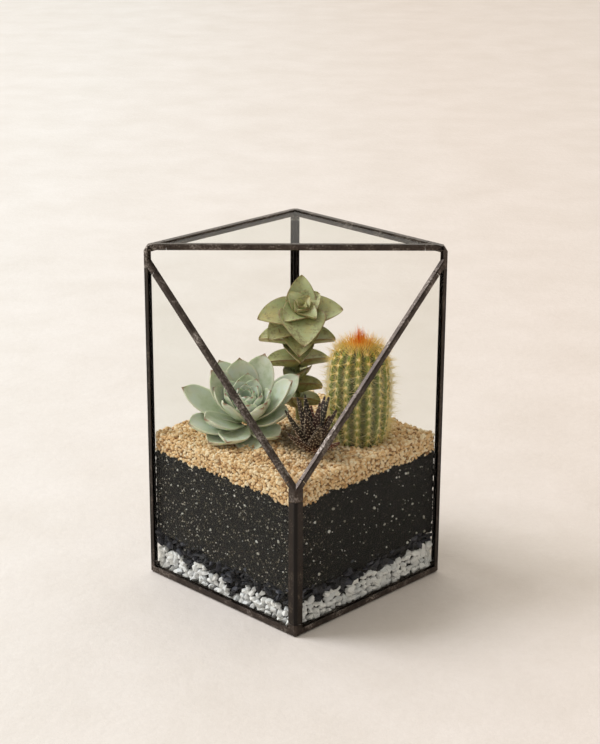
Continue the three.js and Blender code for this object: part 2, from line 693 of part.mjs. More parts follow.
function addZebra() {
  const count = 16;
  const leaves = [];
  for (let i = 0; i < count; i += 1) {
    const age = i / (count - 1);
    const azimuth = 40 + 137.5 * i;
    const length = lerp(18, 28, smooth(age / 0.45));
    const [width, bend] = [lerp(7.5, 5.5, age), lerp(10, -4, age)];
    const section = { width, thickness: 4.4, cup: 0.12, swell: bumps };
    const shape = { length, bend, rings: 5, outlineAt: dagger, ...section };
    const clear = Math.max(
      riseToClear(ZEBRA_BASE, azimuth, length, CACTUS_BASE, 27),
      riseToClear(ZEBRA_BASE, azimuth, length, ROSETTE_BASE, 42),
    );
    const rise = Math.max(lerp(8, 80, age ** 0.7), clear);
    leaves.push(growLeaf(shape, rise, azimuth, 1.5, 4 * age));
  }
  const core = toSolid(new THREE.ConeGeometry(5, 12, 8).rotateX(Math.PI / 2).translate(0, 0, 4.5));
  const base = GRAVEL_TOP + 3.4;
  add('plant_zebra', plant([core, ...leaves], ZEBRA_BASE, base, 4, ZEBRA_STEM), zebraPurple);
}

// ---- Assembly -----------------------------------------------------------------------------------------

addGlassAndFrame();
addLayers();
addRosette();
addStack();
addCactus();
addZebra();

export default terrarium;
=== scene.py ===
import math
import random

import bpy
import numpy as np
from mathutils import Matrix, Vector


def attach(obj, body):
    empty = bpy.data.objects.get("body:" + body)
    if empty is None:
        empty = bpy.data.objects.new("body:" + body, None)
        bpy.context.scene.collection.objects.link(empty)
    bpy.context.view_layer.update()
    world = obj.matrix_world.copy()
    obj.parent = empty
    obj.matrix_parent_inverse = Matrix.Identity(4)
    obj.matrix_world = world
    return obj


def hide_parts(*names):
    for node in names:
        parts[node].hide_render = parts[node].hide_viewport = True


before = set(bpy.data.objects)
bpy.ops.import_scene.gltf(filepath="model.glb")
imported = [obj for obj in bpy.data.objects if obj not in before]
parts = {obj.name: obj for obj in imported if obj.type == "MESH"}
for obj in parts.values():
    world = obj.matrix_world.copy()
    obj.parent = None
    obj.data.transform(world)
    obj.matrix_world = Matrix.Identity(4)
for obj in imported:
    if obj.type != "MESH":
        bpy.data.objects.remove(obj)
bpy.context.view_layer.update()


# ---- Came and solder -----------------
# Lead came and the soldered corners, blackened with patina and waxed. The dark skin is thin and a little
# blotchy, and the metal shows grey where it is worn. That grey is painted lighter on the bars than on the
# upright posts, as a painted highlight of the light that the bars catch.

def put(tree, kind, inputs=None, **settings):
    """Adds a node, sets it up, and feeds its inputs from numbers or from other sockets."""
    made = tree.nodes.new(kind)
    for key, value in settings.items():
        setattr(made, key, value)
    for key, value in (inputs or {}).items():
        if isinstance(value, bpy.types.NodeSocket):
            tree.links.new(value, made.inputs[key])
        else:
            made.inputs[key].default_value = value
    return made


def tint(red, green, blue):
    """A colour given in the 0 to 255 steps of a paint chart, for a node socket."""
    def open_out(step):
        """One step as a share of full light."""
        share = step / 255
        return share / 12.92 if share <= 0.04045 else ((share + 0.055) / 1.055) ** 2.4
    return (open_out(red), open_out(green), open_out(blue), 1)


def ramp(tree, share, stops):
    """Colours laid out along a share from 0 to 1."""
    made = put(tree, "ShaderNodeValToRGB", {"Fac": share})
    bar = made.color_ramp
    while len(bar.elements) < len(stops):
        bar.elements.new(1)
    for element, (place, colour) in zip(bar.elements, stops):
        element.position = place
        element.color = colour
    return made.outputs["Color"]


def blend(tree, share, first, second, kind="MIX"):
    """One colour over another by a share."""
    made = put(tree, "ShaderNodeMix", data_type="RGBA", blend_type=kind)
    for key, value in ((0, share), (6, first), (7, second)):
        if isinstance(value, bpy.types.NodeSocket):
            tree.links.new(value, made.inputs[key])
        else:
            made.inputs[key].default_value = value
    return made.outputs[2]


def span(tree, value, low, high, to_low, to_high):
    """Stretches a value from one span to another, and clamps it."""
    return put(tree, "ShaderNodeMapRange", {
        "Value": value, "From Min": low, "From Max": high, "To Min": to_low, "To Max": to_high,
    }).outputs["Result"]


def reckon(tree, operation, *values, **settings):
    """One step of arithmetic on numbers that change over the surface."""
    return put(tree, "ShaderNodeMath", dict(enumerate(values)), operation=operation, **settings).outputs[0]


def emboss(tree, shader, height, strength, depth):
    """Raises a surface by a height from 0 to 1, up to a depth in metres."""
    bump = put(tree, "ShaderNodeBump", {"Height": height, "Strength": strength, "Distance": depth})
    tree.links.new(bump.outputs["Normal"], shader.inputs["Normal"])
    return bump


def paint(tree, shader, colour):
    """Gives a shader its colour."""
    tree.links.new(colour, shader.inputs["Base Color"])


def axis(tree, place, letter):
    """One coordinate of a place or a direction."""
    return put(tree, "ShaderNodeSeparateXYZ", {"Vector": place}).outputs[letter]


def finish_of(name, roughness, metallic=0.0):
    """A new material with its Principled shader and a node of object coordinates."""
    material = bpy.data.materials.new(name)
    material.use_nodes = True
    tree = material.node_tree
    shader = tree.nodes["Principled BSDF"]
    shader.inputs["Roughness"].default_value = roughness
    shader.inputs["Metallic"].default_value = metallic
    place = put(tree, "ShaderNodeTexCoord").outputs["Object"]
    return material, tree, shader, place


def blotch_group():
    """Uneven patches, used wherever a skin or coat isn't even: 0 in the low ones, 1 in the high."""
    group = bpy.data.node_groups.new("uneven_coat", "ShaderNodeTree")
    for name, kind in (("Place", "NodeSocketVector"), ("Patches per metre", "NodeSocketFloat")):
        group.interface.new_socket(name, in_out="INPUT", socket_type=kind)
    group.interface.new_socket("Patches", in_out="OUTPUT", socket_type="NodeSocketFloat")
    start = put(group, "NodeGroupInput")
    cloud = put(group, "ShaderNodeTexNoise", {
        "Vector": start.outputs[0], "Scale": start.outputs[1], "Detail": 5.0, "Roughness": 0.62,
    })
    even = span(group, cloud.outputs["Fac"], 0.3, 0.7, 0.0, 1.0)
    put(group, "NodeGroupOutput", {"Patches": even})
    return group


uneven_coat = blotch_group()


def patches(tree, place, per_metre):
    """The uneven coat at a size, for one material."""
    return put(tree, "ShaderNodeGroup", {0: place, 1: per_metre}, node_tree=uneven_coat).outputs[0]


def dress(piece, material):
    """Gives a piece one material in place of what it had."""
    piece.data.materials.clear()
    piece.data.materials.append(material)


DARK_BAND_HALF = 0.0009  # half the width of the near-black band down a post's outer corner: the seam, with a painted dark reflection


def patina(name, dull, worn_and_highlight, dark_band_share):
    """Blackened lead, from dull to worn_and_highlight, the lightest grey: metal rubbed bare, and on the bars
    also a painted highlight. dark_band_share is how strongly the near-black band down a post's outer corner
    is laid
    on: the solder line, with a painted dark reflection on its rounded face.
    """
    lead, tree, shader, place = finish_of(name, 0.36, 0.7)
    broad = patches(tree, place, 90.0)
    fine = patches(tree, place, 900.0)
    mixed = reckon(tree, "MULTIPLY", broad, fine)
    skin = ramp(tree, mixed, [(0.0, tint(42, 34, 29)), (0.3, dull), (0.9, worn_and_highlight)])
    across = [reckon(tree, "ABSOLUTE", axis(tree, place, letter)) for letter in "XY"]
    off = reckon(tree, "MINIMUM", *across)
    painted_dark_band = span(tree, off, DARK_BAND_HALF, DARK_BAND_HALF + 0.0008, dark_band_share, 0.0)
    # near-black band down each post's corner: the seam, and a painted dark reflection on the rounded corner
    skin = blend(tree, painted_dark_band, skin, tint(20, 16, 14))
    paint(tree, shader, skin)
    tree.links.new(span(tree, broad, 0, 1, 0.26, 0.46), shader.inputs["Roughness"])
    emboss(tree, shader, mixed, 0.3, 0.0003)
    return lead


# the bars' lightest grey is worn metal and a painted highlight; the posts get a darker one
bar_patina_lit = patina("patina_on_bars_with_painted_highlight", tint(72, 62, 55), tint(182, 172, 164), 0.0)
post_patina = patina("patina_on_posts", tint(46, 39, 33), tint(112, 99, 88), 0.95)
for name, part in parts.items():
    if name.startswith(("came_", "joint_")):
        dress(part, post_patina if "post" in name else bar_patina_lit)


# ---- Glass panes ---------------------
# Six panes of clear 1.6 mm float glass, cut to the came's slots. They are thin enough to see straight
# through, with a faint grey-green cast and a mirror sheen that grows towards grazing angles.

PANE_CAST = (0.972, 0.976, 0.968, 1)
SHEEN_INDEX = 1.11  # low, so that the broad light doesn't veil what is inside
pane = bpy.data.materials.new("clear_pane")
pane.use_nodes = True
tree = pane.node_tree
tree.nodes.remove(tree.nodes["Principled BSDF"])
through = put(tree, "ShaderNodeBsdfTransparent", {"Color": PANE_CAST})
mirror = put(tree, "ShaderNodeBsdfGlossy", {"Color": (1, 1, 1, 1), "Roughness": 0.01})
sheen = put(tree, "ShaderNodeFresnel", {"IOR": SHEEN_INDEX})
leaving = put(tree, "ShaderNodeNewGeometry").outputs["Backfacing"]
share = reckon(tree, "SUBTRACT", sheen.outputs[0], leaving, use_clamp=True)
both = put(tree, "ShaderNodeMixShader", {0: share, 1: through.outputs[0], 2: mirror.outputs[0]})
tree.links.new(both.outputs[0], tree.nodes["Material Output"].inputs["Surface"])
for name, part in parts.items():
    if name.startswith("glass_"):
        dress(part, pane)


# ---- White marble chips --------------
# Drainage layer of broken white marble chips, 4 to 7 mm, poured first. They stack three to five high against
# the glass, most in the side corners and fewest where charcoal fell in. The gaps show a near-black bed
# behind them, soil dust and painted shade between the chips.

INNER = 0.0574  # from the jar's middle to where the fill meets the glass
CHIP_SIZE = (0.0042, 0.0066)  # smallest and largest
CHIP_PITCH = 0.0042  # along the glass
CHIP_ROW = 0.0034  # row over row
CHIP_ROWS = 5
LOWEST_CHIP = 0.0046
UNDER_SIZE = (0.0038, 0.0047)  # the chips that lie on the base pane
UNDER_PITCH = 0.0046
UNDER_REACH = 0.051
PEBBLE_LEVEL = 0.015


def solo(piece):
    """Makes one piece the only selected and active one."""
    bpy.ops.object.select_all(action="DESELECT")
    piece.select_set(True)
    bpy.context.view_layer.objects.active = piece


def fresh(name, add, **sizes):
    """A new primitive, with nothing else selected."""
    bpy.ops.object.select_all(action="DESELECT")
    add(**sizes)
    piece = bpy.context.active_object
    piece.name = name
    return piece


def rough_stone(name, seed, sharp):
    """One chip, 1 metre across before it is scaled: a ball knocked into flats and corners."""
    stone = fresh(name, bpy.ops.mesh.primitive_ico_sphere_add, subdivisions=1, radius=0.5)
    bpy.ops.object.mode_set(mode="EDIT")
    bpy.ops.mesh.select_all(action="SELECT")
    bpy.ops.transform.vertex_random(offset=sharp, seed=seed)
    bpy.ops.transform.resize(value=(1, 0.86, 0.7))
    bpy.ops.mesh.convex_hull()
    bpy.ops.mesh.quads_convert_to_tris()
    bpy.ops.object.mode_set(mode="OBJECT")
    return stone


def mark(tree, name):
    """A number that the mesh carries at each of its points."""
    return put(tree, "ShaderNodeAttribute", attribute_name=name).outputs["Fac"]


def soak(shader, weight, radius, depth):
    """Light that goes a little way into stone or leaf."""
    shader.inputs["Subsurface Weight"].default_value = weight
    shader.inputs["Subsurface Radius"].default_value = radius
    shader.inputs["Subsurface Scale"].default_value = depth


def strew(name, models, heap, smooth=False):
    """One piece made of many copies of a few models. heap gives the place and the tone of each copy."""
    points, corners, shades, count = [], [], [], 0
    for k, model in enumerate(models):
        shape = np.array([v.co[:] for v in model.data.vertices])
        faces = np.array([p.vertices[:] for p in model.data.polygons])
        places, tones = zip(*heap[k::len(models)])
        places = np.array([np.array(place) for place in places])
        moved = np.einsum("nij,vj->nvi", places[:, :3, :3], shape) + places[:, None, :3, 3]
        steps = np.arange(len(places))[:, None, None] * len(shape) + count
        points.append(moved.reshape(-1, 3))
        corners.append((faces[None] + steps).reshape(-1, faces.shape[1]))
        shades.append(np.repeat(tones, len(shape)))
        count += len(places) * len(shape)
    mesh = bpy.data.meshes.new(name)
    mesh.from_pydata(np.concatenate(points).tolist(), [], np.concatenate(corners).tolist())
    tone = mesh.attributes.new("tone", "FLOAT", "POINT")
    tone.data.foreach_set("value", np.concatenate(shades).astype(np.float32))
    mesh.polygons.foreach_set("use_smooth", [smooth] * len(mesh.polygons))
    piece = bpy.data.objects.new(name, mesh)
    bpy.context.scene.collection.objects.link(piece)
    return piece


def scrap(*models):
    """Removes the models once their copies are made."""
    for model in models:
        bpy.data.objects.remove(model)


def tumble(draw, at, size):
    """Place and tone of a chip turned any way, at a point given along the two pairs of walls."""
    turn = Matrix.Rotation(draw.uniform(0, math.tau), 4, "X")
    turn = turn @ Matrix.Rotation(draw.uniform(0, math.tau), 4, "Z")
    jar = Matrix.Rotation(math.radians(45), 4, "Z")
    return jar @ Matrix.Translation(at) @ turn @ Matrix.Diagonal((*size, 1)), draw.random()


def along_walls(pitch):
    """Steps along the four walls: wall number, then the place along it from its middle."""
    reach = INNER - 0.002
    steps = int(2 * reach / pitch)
    for wall in range(4):
        for k in range(steps + 1):
            yield wall, -reach + k * 2 * reach / steps


def over_floor(draw, reach, pitch, stray, height):
    """Points all over the floor plan at one height, each off its grid by up to a stray."""
    grid = np.arange(-reach, reach, pitch)
    for u in grid:
        for v in grid:
            yield Vector((u + draw.uniform(-stray, stray), v + draw.uniform(-stray, stray), height))


def by_wall(wall, along, depth, height):
    """A point at a depth behind one of the walls. Walls 0 and 1 meet at the front corner."""
    inward = INNER - depth
    across = [(along, -inward), (-inward, along), (along, inward), (inward, along)][wall]
    return Vector((*across, height))


def plan(u, v):
    """The jar's x and y of a point given along its walls."""
    return ((u - v) / math.sqrt(2), (u + v) / math.sqrt(2))


def fill_block(name, half, low, high, cuts):
    """A block of fill with a grid on every face. low and high give its lower and upper face at (x, y)."""
    block = fresh(name, bpy.ops.mesh.primitive_cube_add, size=2)
    bpy.ops.object.mode_set(mode="EDIT")
    bpy.ops.mesh.select_all(action="SELECT")
    bpy.ops.transform.resize(value=(half, half, 0.5))
    bpy.ops.mesh.subdivide(number_cuts=cuts)
    bpy.ops.object.mode_set(mode="OBJECT")
    for vertex in block.data.vertices:
        x, y = plan(vertex.co.x, vertex.co.y)
        share = vertex.co.z + 0.5
        vertex.co = (x, y, low(x, y) + share * (high(x, y) - low(x, y)))
    return block


def join_all(name, pieces):
    """Several pieces into the first one."""
    bpy.ops.object.select_all(action="DESELECT")
    for piece in pieces:
        piece.select_set(True)
    bpy.context.view_layer.objects.active = pieces[0]
    bpy.ops.object.join()
    pieces[0].name = name
    return pieces[0]


def settle(piece, slot_name, *nodes):
    """The piece stands for these solids and moves with the jar."""
    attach(piece, "root")
    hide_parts(*nodes)


def smooth_step(share):
    """0 to 1 along a soft S."""
    share = min(1.0, max(0.0, share))
    return share * share * (3 - 2 * share)


def wave(x, y, size, phase):
    """Soft waves in the layers, the same at a place whoever asks."""
    return math.sin(x / size + phase) * math.cos(y / size - 1.7 * phase)


HOLLOWS = [  # wall, place along it, depth and width of the hollows that the charcoal fell into
    (1, -0.006, 0.0110, 0.0062), (1, 0.031, 0.0080, 0.0034), (0, -0.017, 0.0070, 0.0036),
    (0, -0.037, 0.0050, 0.0030), (0, 0.012, 0.0045, 0.0030), (2, -0.020, 0.0080, 0.0040),
    (3, 0.014, 0.0080, 0.0040),
]


def pebble_top(x, y):
    """Height of the marble: banked at the glass, more in the side corners, with its hollows."""
    wall = smooth_step((abs(x) + abs(y) - 0.055) / 0.025)
    side = smooth_step((abs(x) - 0.045) / 0.035)
    top = PEBBLE_LEVEL + 0.0014 * wave(x, y, 0.006, 0.4) + wall * (0.0015 + 0.003 * side)
    for number, along, depth, width in HOLLOWS:
        middle = plan(*by_wall(number, along, 0.002, 0)[:2])
        top -= depth * math.exp(-((x - middle[0]) ** 2 + (y - middle[1]) ** 2) / width ** 2)
    return top


draw = random.Random(11)
chips = [rough_stone(f"chip_{k}", k, 0.3) for k in range(9)]
heap = []
for wall, along in along_walls(CHIP_PITCH):
    for row in range(CHIP_ROWS):
        height = LOWEST_CHIP + row * CHIP_ROW + draw.uniform(-0.0006, 0.0006)
        depth = 0.0026 + draw.uniform(0, 0.0009)
        spot = by_wall(wall, along + draw.uniform(-0.0011, 0.0011), depth, height)
        if height < pebble_top(*plan(spot.x, spot.y)) - 0.0012 + draw.uniform(-0.0012, 0.0012):
            size = draw.uniform(*CHIP_SIZE)
            heap.append(tumble(draw, spot, (size, size, size)))
for spot in over_floor(draw, UNDER_REACH, UNDER_PITCH, 0.0009, 0.0048):
    heap.append(tumble(draw, spot, [draw.uniform(*UNDER_SIZE)] * 3))
pebbles = strew("pebble_chips", chips, heap)
scrap(*chips)

marble, tree, shader, place = finish_of("white_marble", 0.7)
tone = mark(tree, "tone")
stone = ramp(tree, tone, [
    (0.0, tint(232, 234, 237)), (0.5, tint(248, 248, 249)), (1.0, tint(254, 254, 253)),
])
veins = patches(tree, place, 420.0)
stone = blend(tree, span(tree, veins, 0.0, 0.45, 0.22, 0.0), stone, tint(200, 205, 213))
paint(tree, shader, stone)
emboss(tree, shader, patches(tree, place, 2200.0), 0.5, 0.0002)
soak(shader, 0.08, (0.001, 0.001, 0.001), 0.6)

# near-black fill behind the chips and the charcoal: soil dust, and painted shade in the gaps between them
dust_and_shade, tree, shader, place = finish_of("soil_dust_and_painted_shade", 0.95)
dark = ramp(tree, patches(tree, place, 1200.0), [(0.0, tint(16, 15, 14)), (1.0, tint(38, 35, 32))])
paint(tree, shader, dark)
bed = fill_block("pebble_bed", INNER - 0.0036, lambda x, y: 0.0062,
                 lambda x, y: pebble_top(x, y) - 0.003, 5)
dress(bed, dust_and_shade)
dress(pebbles, marble)
pebbles = join_all("pebble_chips", [pebbles, bed])
settle(pebbles, "white_marble", "white_pebbles")


# ---- Charcoal ------------------------
# Broken horticultural charcoal over the marble, in flat splinters 6 to 9 mm long with a blue-black sheen on
# the breaks. It fills the hollows in the marble and rises a little in the side corners.

CHARCOAL_LEVEL = 0.0225
SPLINTER_LENGTH = (0.0060, 0.0090)
SPLINTER_WIDE = 0.0060
SPLINTER_THICK = 0.0038
SPLINTER_PITCH = 0.0040
SPLINTER_ROW = 0.0034
SPLINTER_ROWS = 5


def charcoal_top(x, y):
    """Height of the charcoal, lumpy against the glass."""
    wall = smooth_step((abs(x) + abs(y) - 0.06) / 0.018)
    lumps = 0.0015 * wave(x, y, 0.007, 2.1) + wall * (0.0008 + 0.0020 * wave(x, y, 0.0043, 0.7))
    return CHARCOAL_LEVEL + lumps + 0.0030 * smooth_step((abs(x) - 0.045) / 0.035)


draw = random.Random(23)
splinters = [rough_stone(f"splinter_{k}", 40 + k, 0.2) for k in range(6)]
heap = []
for wall, along in along_walls(SPLINTER_PITCH):
    for row in range(SPLINTER_ROWS):
        spot = by_wall(wall, along + draw.uniform(-0.0015, 0.0015), 0.0028 + draw.uniform(0, 0.0010), 0)
        x, y = plan(spot.x, spot.y)
        spot.z = pebble_top(x, y) + 0.0010 + row * SPLINTER_ROW + draw.uniform(-0.001, 0.001)
        if spot.z < charcoal_top(x, y) + draw.uniform(-0.001, 0.004):
            size = (draw.uniform(*SPLINTER_LENGTH), SPLINTER_WIDE, SPLINTER_THICK)
            heap.append(tumble(draw, spot, size))
charcoal = strew("charcoal_splinters", splinters, heap)
scrap(*splinters)

burnt, tree, shader, place = finish_of("charcoal", 0.45)
tone = mark(tree, "tone")
black = ramp(tree, tone, [(0.0, tint(24, 24, 28)), (0.6, tint(41, 42, 49)), (1.0, tint(74, 76, 87))])
paint(tree, shader, black)
tree.links.new(span(tree, patches(tree, place, 500.0), 0, 1, 0.4, 0.8), shader.inputs["Roughness"])
grain = put(tree, "ShaderNodeTexWave", {"Vector": place, "Scale": 900.0, "Distortion": 6.0, "Detail": 3.0})
emboss(tree, shader, grain.outputs["Fac"], 0.5, 0.0002)
bed = fill_block("charcoal_bed", INNER - 0.0034, lambda x, y: pebble_top(x, y) - 0.0028,
                 lambda x, y: charcoal_top(x, y) - 0.0006, 12)
dress(bed, dust_and_shade)
dress(charcoal, burnt)
charcoal = join_all("charcoal_splinters", [charcoal, bed])
settle(charcoal, "charcoal", "charcoal")


# ---- Potting soil --------------------
# Black peat mix pressed against the glass: fine crumbs with pale grit among them, and white bits of perlite
# from 0.6 mm up to a rare 2.6 mm. Deepest black on the side away from the window.

SOIL_LEVEL = 0.0768
FLECKS = 520
FLECK_SIZE = (0.0006, 0.0026)


def soil_top(x, y):
    """Height of the soil, lower towards the front corner and ragged against the glass."""
    raked = 0.0009 * wave(x, y, 0.009, 1.2) - 0.0022 * smooth_step((-y - 0.06) / 0.02)
    pressed = wave(x, y, 0.0041, 0.5) + 0.7 * wave(x, y, 0.0019, 2.2)
    return SOIL_LEVEL + raked + 0.0010 * pressed * smooth_step((abs(x) + abs(y) - 0.062) / 0.015)


def roughen(piece, size, depth):
    """Presses cloudy hollows of one size into a piece."""
    clouds = bpy.data.textures.new(f"clouds_{size}", "CLOUDS")
    clouds.noise_scale = size
    clouds.noise_depth = 3
    press = piece.modifiers.new("hollows", "DISPLACE")
    press.texture = clouds
    press.strength = depth
    press.mid_level = 1.0
    solo(piece)
    bpy.ops.object.modifier_apply(modifier=press.name)


soil = fill_block("soil_fill", INNER - 0.0002, lambda x, y: charcoal_top(x, y) - 0.0004, soil_top, 79)
roughen(soil, 0.0016, 0.0016)
bpy.ops.object.shade_smooth()

peat, tree, shader, place = finish_of("potting_soil", 0.9)
crumbs = put(tree, "ShaderNodeTexVoronoi", {"Vector": place, "Scale": 1500.0, "Randomness": 1.0})
pick = put(tree, "ShaderNodeSeparateColor", {"Color": crumbs.outputs["Color"]})
earth = ramp(tree, pick.outputs[0], [
    (0.0, tint(6, 6, 5)), (0.6, tint(14, 13, 10)), (0.82, tint(32, 29, 22)), (0.93, tint(66, 60, 47)),
    (0.97, tint(128, 118, 98)), (1.0, tint(228, 220, 204)),
])
lumps = patches(tree, place, 260.0)
earth = blend(tree, span(tree, lumps, 0, 1, 0.55, 0.0), earth, tint(12, 11, 10))
in_shade = span(tree, axis(tree, place, "X"), -0.01, 0.03, 0.0, 0.85)
earth = blend(tree, in_shade, earth, tint(5, 5, 4))
paint(tree, shader, earth)
crumb_height = reckon(tree, "SUBTRACT", crumbs.outputs["Distance"], lumps)
emboss(tree, shader, crumb_height, 0.9, 0.0006).invert = True
dress(soil, peat)

draw = random.Random(37)
bits = [rough_stone(f"bit_{k}", 80 + k, 0.16) for k in range(4)]
heap = []
for k in range(FLECKS):
    wall, along = k % 4, draw.uniform(-0.054, 0.054)
    size = FLECK_SIZE[0] + (FLECK_SIZE[1] - FLECK_SIZE[0]) * draw.random() ** 4
    spot = by_wall(wall, along, 0.00035 + 0.35 * size, 0)
    x, y = plan(spot.x, spot.y)
    low = charcoal_top(x, y) if draw.random() < 0.8 else charcoal_top(x, y) - 0.004
    spot.z = low + 0.001 + (soil_top(x, y) - low - 0.002) * draw.random()
    heap.append(tumble(draw, spot, (size, size, size)))
flecks = strew("soil_flecks", bits, heap)
scrap(*bits)
perlite, tree, shader, place = finish_of("perlite", 0.8)
tone = mark(tree, "tone")
pale = ramp(tree, tone, [(0.0, tint(124, 120, 108)), (0.5, tint(200, 198, 188)), (1.0, tint(246, 246, 242))])
pale = blend(tree, span(tree, patches(tree, place, 1500.0), 0, 1, 0.3, 0.0), pale, tint(110, 100, 88))
paint(tree, shader, pale)
dress(flecks, perlite)
soil = join_all("soil_fill", [soil, flecks])
settle(soil, "soil", "soil")


# ---- Gravel --------------------------
# Top dressing of washed tan gravel, 1.5 to 3 mm grains, sprinkled over the soil and raked round the plants.
# It lies about 10 mm deep at the glass, and has a soil-brown painted shade between the plants.

GRAVEL_LEVEL = 0.0875
GRAIN_SIZE = (0.0017, 0.0029)
GRAIN_SHAPE = Vector((1, 1.1, 1.3))
GRAIN_PITCH = 0.00166
EDGE_SIZE = (0.0017, 0.0028)  # the grains that lie against the glass
EDGE_PITCH = 0.0017
EDGE_ROW = 0.00155
EDGE_ROWS = 10
BED_REACH = 0.0562  # from the jar's middle to the outermost grains on top
CACTUS_AT = (0.036, -0.0074)
CACTUS_FOOT = 0.0152  # the gravel's edge round the cactus
SHADE_PATCH_AT = (0.009, -0.007, 0)
SHADE_PATCH_SHAPE = (1, 0.8, 0)  # a little longer towards the front


def gravel_top(x, y):
    """Height of the gravel, with the rake's waves."""
    rakes = 0.00055 * wave(x, y, 0.0031, 0.9) + 0.0005 * wave(x, y, 0.014, 2.6)
    return GRAVEL_LEVEL + rakes + 0.001 * smooth_step(y / 0.06)


def is_clear(x, y):
    """False under the cactus, which stands in the gravel."""
    return math.hypot(x - CACTUS_AT[0], y - CACTUS_AT[1]) > CACTUS_FOOT


draw = random.Random(53)
grains = [rough_stone(f"grain_{k}", 120 + k, 0.09) for k in range(8)]
heap = []
for spot in over_floor(draw, BED_REACH, GRAIN_PITCH, 0.0005, 0):
    x, y = plan(spot.x, spot.y)
    if is_clear(x, y):
        size = draw.uniform(*GRAIN_SIZE)
        spot.z = gravel_top(x, y) - 0.0007 + draw.uniform(-0.0006, 0.0008)
        heap.append(tumble(draw, spot, size * GRAIN_SHAPE))
top_grains = strew("gravel_top", grains, heap)
heap = []
for wall, along in along_walls(EDGE_PITCH):
    for row in range(EDGE_ROWS):
        size = draw.uniform(*EDGE_SIZE)
        sideways = draw.uniform(-0.0006, 0.0006)
        spot = by_wall(wall, along + sideways, 0.53 * size + draw.uniform(0, 0.0005), 0)
        x, y = plan(spot.x, spot.y)
        spot.z = soil_top(x, y) + draw.uniform(-0.0012, 0.0006) + row * EDGE_ROW
        if spot.z < gravel_top(x, y):
            heap.append(tumble(draw, spot, size * GRAIN_SHAPE))
wall_grains = strew("gravel_edge", grains, heap)
scrap(*grains)

tan, tree, shader, place = finish_of("tan_gravel", 0.75)
tone = mark(tree, "tone")
sand = ramp(tree, tone, [
    (0.0, tint(150, 110, 70)), (0.16, tint(220, 180, 128)), (0.5, tint(242, 212, 164)),
    (0.8, tint(252, 238, 208)), (1.0, tint(232, 194, 140)),
])
sand = blend(tree, span(tree, patches(tree, place, 1300.0), 0, 0.6, 0.22, 0.0), sand, tint(186, 142, 94))
# painted shade: the gravel darkens to soil brown round a point between the plants, where their leaves shade
# it
level = put(tree, "ShaderNodeVectorMath", {0: place, 1: SHADE_PATCH_SHAPE}, operation="MULTIPLY")
middle = {0: level.outputs[0], 1: SHADE_PATCH_AT}
away = put(tree, "ShaderNodeVectorMath", middle, operation="DISTANCE").outputs["Value"]
ragged_shade_reach = reckon(tree, "MULTIPLY_ADD", patches(tree, place, 160.0), 0.010, away)
painted_shade_between_plants = span(tree, ragged_shade_reach, 0.021, 0.030, 0.8, 0.0)
sand = blend(tree, painted_shade_between_plants, sand, tint(52, 42, 28))
paint(tree, shader, sand)
emboss(tree, shader, patches(tree, place, 5000.0), 0.4, 0.0001)
bed = fill_block("gravel_bed", INNER - 0.0013, lambda x, y: soil_top(x, y) - 0.0002,
                 lambda x, y: gravel_top(x, y) - 0.0012, 24)
base, tree, shader, place = finish_of("gravel_in_shade", 0.9)
shade = ramp(tree, patches(tree, place, 1100.0), [(0.0, tint(92, 68, 44)), (1.0, tint(170, 132, 88))])
paint(tree, shader, shade)
dress(bed, base)
dress(wall_grains, tan)
dress(top_grains, tan)
wall_grains = join_all("gravel_edge", [wall_grains, bed])
settle(wall_grains, "tan_gravel", "gravel")
settle(top_grains, "tan_gravel", "gravel")


# ---- Rosette succulent ---------------
# An echeveria: thick spoon-shaped leaves in a golden-angle spiral, opened flat outside and standing up round
# the bud, with the outermost pushed out of the spiral by what they touch. Each is keeled below, ends in a
# short brown point, and carries a pale bloom of wax.

ROSETTE_AT = (-0.0285, -0.003)
ROSETTE_LEAVES = 37
ROSETTE_LEAN = 19.5  # degrees towards the front, so that its face is seen
ROSETTE_CURL = 18  # degrees that a leaf bends up over its length


def blade(name, rings, sides, lift, groove):
    """A leaf 1 long, 1 wide and 1 thick, on the X axis, extruded ring by ring from its foot and closed at
    the tip. rings gives the distance, the share of the width and the share of the thickness. lift raises
    the margins, and groove flattens the upper face."""
    leaf = fresh(name, bpy.ops.mesh.primitive_circle_add, vertices=sides, radius=0.5, fill_type="NGON",
                 rotation=(0, math.pi / 2, 0))
    bpy.ops.object.transform_apply(location=False, rotation=True, scale=False)

    def pick(test):
        """Selects the points that pass a test, and leaves edit mode on."""
        bpy.ops.object.mode_set(mode="OBJECT")
        for item in (*leaf.data.polygons, *leaf.data.edges):
            item.select = False
        for vertex in leaf.data.vertices:
            vertex.select = test(vertex.co)
        bpy.ops.object.mode_set(mode="EDIT")

    pick(lambda co: co.z > 0.1)
    bpy.ops.transform.resize(value=(1, 1, groove), center_override=(0, 0, 0))
    for reach, share in ((0.2, 0.25), (0.4, 0.5), (0.49, 0.25)):
        pick(lambda co, reach=reach: abs(co.y) > reach)
        bpy.ops.transform.translate(value=(0, 0, lift * share))
    bpy.ops.mesh.select_all(action="SELECT")
    last = rings[0]
    bpy.ops.transform.resize(value=(1, last[1], last[2]), center_override=(0, 0, 0))
    for ring in rings[1:]:
        bpy.ops.mesh.extrude_region_move(TRANSFORM_OT_translate={"value": (ring[0] - last[0], 0, 0)})
        swell = (1, ring[1] / last[1], ring[2] / last[2])
        bpy.ops.transform.resize(value=swell, center_override=(ring[0], 0, 0))
        last = ring
    bpy.ops.mesh.merge(type="CENTER")
    bpy.ops.object.mode_set(mode="OBJECT")
    round_off(leaf, 1)
    measure(leaf, rings)
    return leaf


